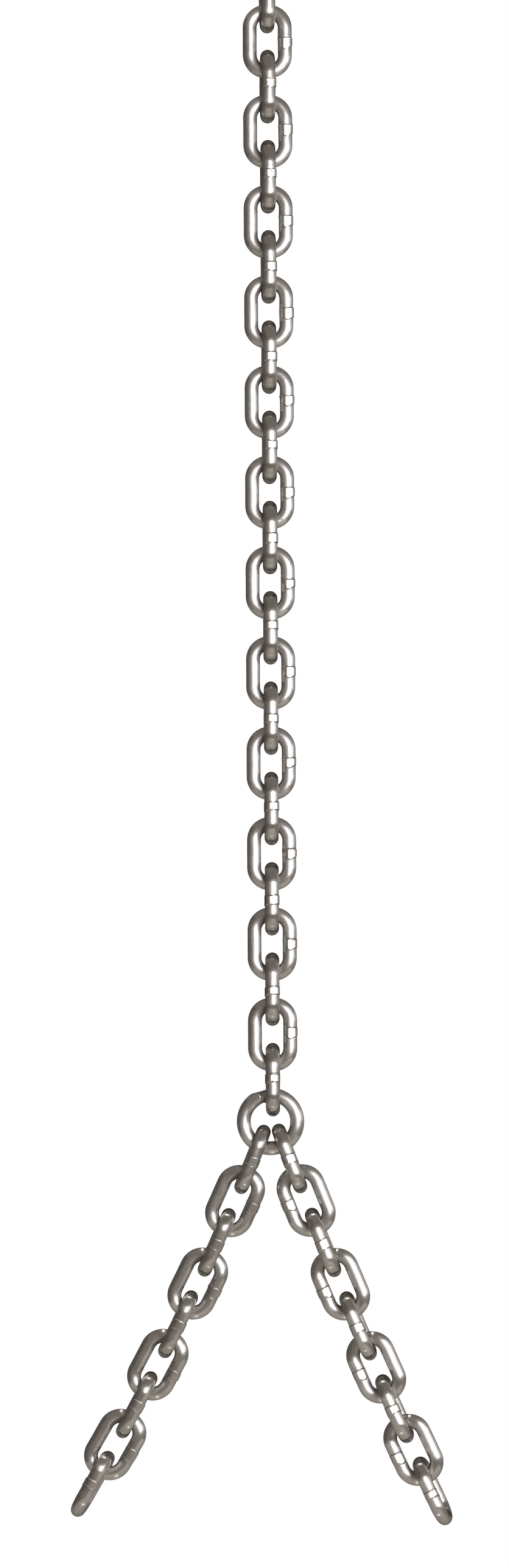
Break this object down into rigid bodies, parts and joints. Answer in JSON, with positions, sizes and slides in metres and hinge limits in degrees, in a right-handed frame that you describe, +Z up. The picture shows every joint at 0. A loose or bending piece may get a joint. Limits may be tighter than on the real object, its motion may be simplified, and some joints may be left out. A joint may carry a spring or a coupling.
{
  "type": "swing chain",
  "caption": "Welded short-link stainless steel swing chain whose round ring carries two shorter legs for a seat.",
  "frame": {"origin": "the point inside the top link where the hook or pin that carries the chain bears", "axes": "+Z is up along the chain, +X is to the right leg, and -Y is towards the camera, the way the flat side of the ring faces"},
  "size_m": [0.1549, 0.0204, 0.6364],
  "materials": {
    "link_steel": "polished to a satin, with fine scratches along the bar and small nicks at the welds",
    "ring_steel": "as the links, a little brighter"
  },
  "bodies": {
    "main_link_01": {"main_link_01": "link_steel"},
    "main_link_02": {"main_link_02": "link_steel"},
    "main_link_03": {"main_link_03": "link_steel"},
    "main_link_04": {"main_link_04": "link_steel"},
    "main_link_05": {"main_link_05": "link_steel"},
    "main_link_06": {"main_link_06": "link_steel"},
    "main_link_07": {"main_link_07": "link_steel"},
    "main_link_08": {"main_link_08": "link_steel"},
    "main_link_09": {"main_link_09": "link_steel"},
    "main_link_10": {"main_link_10": "link_steel"},
    "main_link_11": {"main_link_11": "link_steel"},
    "main_link_12": {"main_link_12": "link_steel"},
    "main_link_13": {"main_link_13": "link_steel"},
    "main_link_14": {"main_link_14": "link_steel"},
    "main_link_15": {"main_link_15": "link_steel"},
    "main_link_16": {"main_link_16": "link_steel"},
    "main_link_17": {"main_link_17": "link_steel"},
    "main_link_18": {"main_link_18": "link_steel"},
    "main_link_19": {"main_link_19": "link_steel"},
    "main_link_20": {"main_link_20": "link_steel"},
    "main_link_21": {"main_link_21": "link_steel"},
    "main_link_22": {"main_link_22": "link_steel"},
    "main_link_23": {"main_link_23": "link_steel"},
    "main_link_24": {"main_link_24": "link_steel"},
    "main_link_25": {"main_link_25": "link_steel"},
    "ring": {"ring": "ring_steel"},
    "left_link_1": {"left_link_1": "link_steel"},
    "left_link_2": {"left_link_2": "link_steel"},
    "left_link_3": {"left_link_3": "link_steel"},
    "left_link_4": {"left_link_4": "link_steel"},
    "left_link_5": {"left_link_5": "link_steel"},
    "left_link_6": {"left_link_6": "link_steel"},
    "left_link_7": {"left_link_7": "link_steel"},
    "left_link_8": {"left_link_8": "link_steel"},
    "left_link_9": {"left_link_9": "link_steel"},
    "right_link_1": {"right_link_1": "link_steel"},
    "right_link_2": {"right_link_2": "link_steel"},
    "right_link_3": {"right_link_3": "link_steel"},
    "right_link_4": {"right_link_4": "link_steel"},
    "right_link_5": {"right_link_5": "link_steel"},
    "right_link_6": {"right_link_6": "link_steel"},
    "right_link_7": {"right_link_7": "link_steel"},
    "right_link_8": {"right_link_8": "link_steel"},
    "right_link_9": {"right_link_9": "link_steel"}
  },
  "joints": [
    {"name": "main_link_02_turn", "type": "hinge", "parent": "main_link_01", "child": "main_link_02", "pos_m": [0, 0, -0.02135], "axis": [0.0689, -0.9976, 0], "range_deg": [-100, 100]},
    {"name": "main_link_03_turn", "type": "hinge", "parent": "main_link_02", "child": "main_link_03", "pos_m": [0, 0, -0.0397], "axis": [-0.9979, -0.0654, 0], "range_deg": [-100, 100]},
    {"name": "main_link_04_turn", "type": "hinge", "parent": "main_link_03", "child": "main_link_04", "pos_m": [0, 0, -0.05805], "axis": [-0.0619, 0.9981, 0], "range_deg": [-100, 100]},
    {"name": "main_link_05_turn", "type": "hinge", "parent": "main_link_04", "child": "main_link_05", "pos_m": [0, 0, -0.0764], "axis": [0.9983, 0.0584, 0], "range_deg": [-100, 100]},
    {"name": "main_link_06_turn", "type": "hinge", "parent": "main_link_05", "child": "main_link_06", "pos_m": [0, 0, -0.09475], "axis": [0.055, -0.9985, 0], "range_deg": [-100, 100]},
    {"name": "main_link_07_turn", "type": "hinge", "parent": "main_link_06", "child": "main_link_07", "pos_m": [0, 0, -0.1131], "axis": [-0.9987, -0.0515, 0], "range_deg": [-100, 100]},
    {"name": "main_link_08_turn", "type": "hinge", "parent": "main_link_07", "child": "main_link_08", "pos_m": [0, 0, -0.13145], "axis": [-0.048, 0.9988, 0], "range_deg": [-100, 100]},
    {"name": "main_link_09_turn", "type": "hinge", "parent": "main_link_08", "child": "main_link_09", "pos_m": [0, 0, -0.1498], "axis": [0.999, 0.0445, 0], "range_deg": [-100, 100]},
    {"name": "main_link_10_turn", "type": "hinge", "parent": "main_link_09", "child": "main_link_10", "pos_m": [0, 0, -0.16815], "axis": [0.041, -0.9992, 0], "range_deg": [-100, 100]},
    {"name": "main_link_11_turn", "type": "hinge", "parent": "main_link_10", "child": "main_link_11", "pos_m": [0, 0, -0.1865], "axis": [-0.9993, -0.0375, 0], "range_deg": [-100, 100]},
    {"name": "main_link_12_turn", "type": "hinge", "parent": "main_link_11", "child": "main_link_12", "pos_m": [0, 0, -0.20485], "axis": [-0.034, 0.9994, 0], "range_deg": [-100, 100]},
    {"name": "main_link_13_turn", "type": "hinge", "parent": "main_link_12", "child": "main_link_13", "pos_m": [0, 0, -0.2232], "axis": [0.9995, 0.0305, 0], "range_deg": [-100, 100]},
    {"name": "main_link_14_turn", "type": "hinge", "parent": "main_link_13", "child": "main_link_14", "pos_m": [0, 0, -0.24155], "axis": [0.027, -0.9996, 0], "range_deg": [-100, 100]},
    {"name": "main_link_15_turn", "type": "hinge", "parent": "main_link_14", "child": "main_link_15", "pos_m": [0, 0, -0.2599], "axis": [-0.9997, -0.0236, 0], "range_deg": [-100, 100]},
    {"name": "main_link_16_turn", "type": "hinge", "parent": "main_link_15", "child": "main_link_16", "pos_m": [0, 0, -0.27825], "axis": [-0.0201, 0.9998, 0], "range_deg": [-100, 100]},
    {"name": "main_link_17_turn", "type": "hinge", "parent": "main_link_16", "child": "main_link_17", "pos_m": [0, 0, -0.2966], "axis": [0.9999, 0.0166, 0], "range_deg": [-100, 100]},
    {"name": "main_link_18_turn", "type": "hinge", "parent": "main_link_17", "child": "main_link_18", "pos_m": [0, 0, -0.31495], "axis": [0.0131, -0.9999, 0], "range_deg": [-100, 100]},
    {"name": "main_link_19_turn", "type": "hinge", "parent": "main_link_18", "child": "main_link_19", "pos_m": [0, 0, -0.3333], "axis": [-1, -0.0096, 0], "range_deg": [-100, 100]},
    {"name": "main_link_20_turn", "type": "hinge", "parent": "main_link_19", "child": "main_link_20", "pos_m": [0, 0, -0.35165], "axis": [-0.0061, 1, 0], "range_deg": [-100, 100]},
    {"name": "main_link_21_turn", "type": "hinge", "parent": "main_link_20", "child": "main_link_21", "pos_m": [0, 0, -0.37], "axis": [1, 0.0026, 0], "range_deg": [-100, 100]},
    {"name": "main_link_22_turn", "type": "hinge", "parent": "main_link_21", "child": "main_link_22", "pos_m": [0, 0, -0.38835], "axis": [-0.0009, -1, 0], "range_deg": [-100, 100]},
    {"name": "main_link_23_turn", "type": "hinge", "parent": "main_link_22", "child": "main_link_23", "pos_m": [0, 0, -0.4067], "axis": [-1, 0.0044, 0], "range_deg": [-100, 100]},
    {"name": "main_link_24_turn", "type": "hinge", "parent": "main_link_23", "child": "main_link_24", "pos_m": [0, 0, -0.42505], "axis": [0.0079, 1, 0], "range_deg": [-100, 100]},
    {"name": "main_link_25_turn", "type": "hinge", "parent": "main_link_24", "child": "main_link_25", "pos_m": [0, 0, -0.4434], "axis": [0.9999, -0.0113, 0], "range_deg": [-100, 100]},
    {"name": "ring_swing", "type": "hinge", "parent": "main_link_25", "child": "ring", "pos_m": [0, 0, -0.46175], "axis": [-0.0148, -0.9999, 0], "range_deg": [-85, 100]},
    {"name": "left_link_1_slide", "type": "hinge", "parent": "ring", "child": "left_link_1", "pos_m": [-0.00104, 0, -0.46664], "axis": [0, 1, 0], "range_deg": [0, 60]},
    {"name": "left_link_2_turn", "type": "hinge", "parent": "left_link_1", "child": "left_link_2", "pos_m": [-0.01305, 0, -0.49316], "axis": [-0.0161, 0.9998, 0.0067], "range_deg": [-40, 100]},
    {"name": "left_link_3_turn", "type": "hinge", "parent": "left_link_2", "child": "left_link_3", "pos_m": [-0.0206, 0, -0.50989], "axis": [0.9113, 0.0157, -0.4115], "range_deg": [-100, 100]},
    {"name": "left_link_4_turn", "type": "hinge", "parent": "left_link_3", "child": "left_link_4", "pos_m": [-0.02816, 0, -0.52661], "axis": [0.0127, -0.9999, -0.0057], "range_deg": [-100, 60]},
    {"name": "left_link_5_turn", "type": "hinge", "parent": "left_link_4", "child": "left_link_5", "pos_m": [-0.03626, 0, -0.54307], "axis": [-0.8972, -0.0122, 0.4415], "range_deg": [-100, 100]},
    {"name": "left_link_6_turn", "type": "hinge", "parent": "left_link_5", "child": "left_link_6", "pos_m": [-0.04436, 0, -0.55954], "axis": [-0.0094, 0.9999, 0.0046], "range_deg": [-100, 100]},
    {"name": "left_link_7_turn", "type": "hinge", "parent": "left_link_6", "child": "left_link_7", "pos_m": [-0.053, 0, -0.57573], "axis": [0.8821, 0.0087, -0.471], "range_deg": [-100, 100]},
    {"name": "left_link_8_turn", "type": "hinge", "parent": "left_link_7", "child": "left_link_8", "pos_m": [-0.06165, 0, -0.59191], "axis": [0.0062, -1, -0.0033], "range_deg": [-100, 100]},
    {"name": "left_link_9_turn", "type": "hinge", "parent": "left_link_8", "child": "left_link_9", "pos_m": [-0.07082, 0, -0.60781], "axis": [-0.866, -0.0052, 0.5], "range_deg": [-100, 100]},
    {"name": "right_link_1_slide", "type": "hinge", "parent": "ring", "child": "right_link_1", "pos_m": [-0.00104, 0, -0.46664], "axis": [0, 1, 0], "range_deg": [-45, 0]},
    {"name": "right_link_2_turn", "type": "hinge", "parent": "right_link_1", "child": "right_link_2", "pos_m": [0.0109, 0, -0.49298], "axis": [0.0163, 0.9998, 0.0062], "range_deg": [-100, 40]},
    {"name": "right_link_3_turn", "type": "hinge", "parent": "right_link_2", "child": "right_link_3", "pos_m": [0.01771, 0, -0.51002], "axis": [0.928, -0.0323, 0.3712], "range_deg": [-100, 100]},
    {"name": "right_link_4_turn", "type": "hinge", "parent": "right_link_3", "child": "right_link_4", "pos_m": [0.02453, 0, -0.52706], "axis": [-0.0437, -0.9989, -0.0175], "range_deg": [-60, 100]},
    {"name": "right_link_5_turn", "type": "hinge", "parent": "right_link_4", "child": "right_link_5", "pos_m": [0.03164, 0, -0.54397], "axis": [-0.9201, 0.0619, -0.3868], "range_deg": [-100, 100]},
    {"name": "right_link_6_turn", "type": "hinge", "parent": "right_link_5", "child": "right_link_6", "pos_m": [0.03875, 0, -0.56089], "axis": [0.0707, 0.9971, 0.0297], "range_deg": [-100, 100]},
    {"name": "right_link_7_turn", "type": "hinge", "parent": "right_link_6", "child": "right_link_7", "pos_m": [0.04615, 0, -0.57768], "axis": [0.9111, -0.0915, 0.4019], "range_deg": [-100, 100]},
    {"name": "right_link_8_turn", "type": "hinge", "parent": "right_link_7", "child": "right_link_8", "pos_m": [0.05356, 0, -0.59447], "axis": [-0.0972, -0.9943, -0.0429], "range_deg": [-100, 100]},
    {"name": "right_link_9_turn", "type": "hinge", "parent": "right_link_8", "child": "right_link_9", "pos_m": [0.06125, 0, -0.61113], "axis": [-0.9011, 0.121, -0.4164], "range_deg": [-100, 100]}
  ]
}
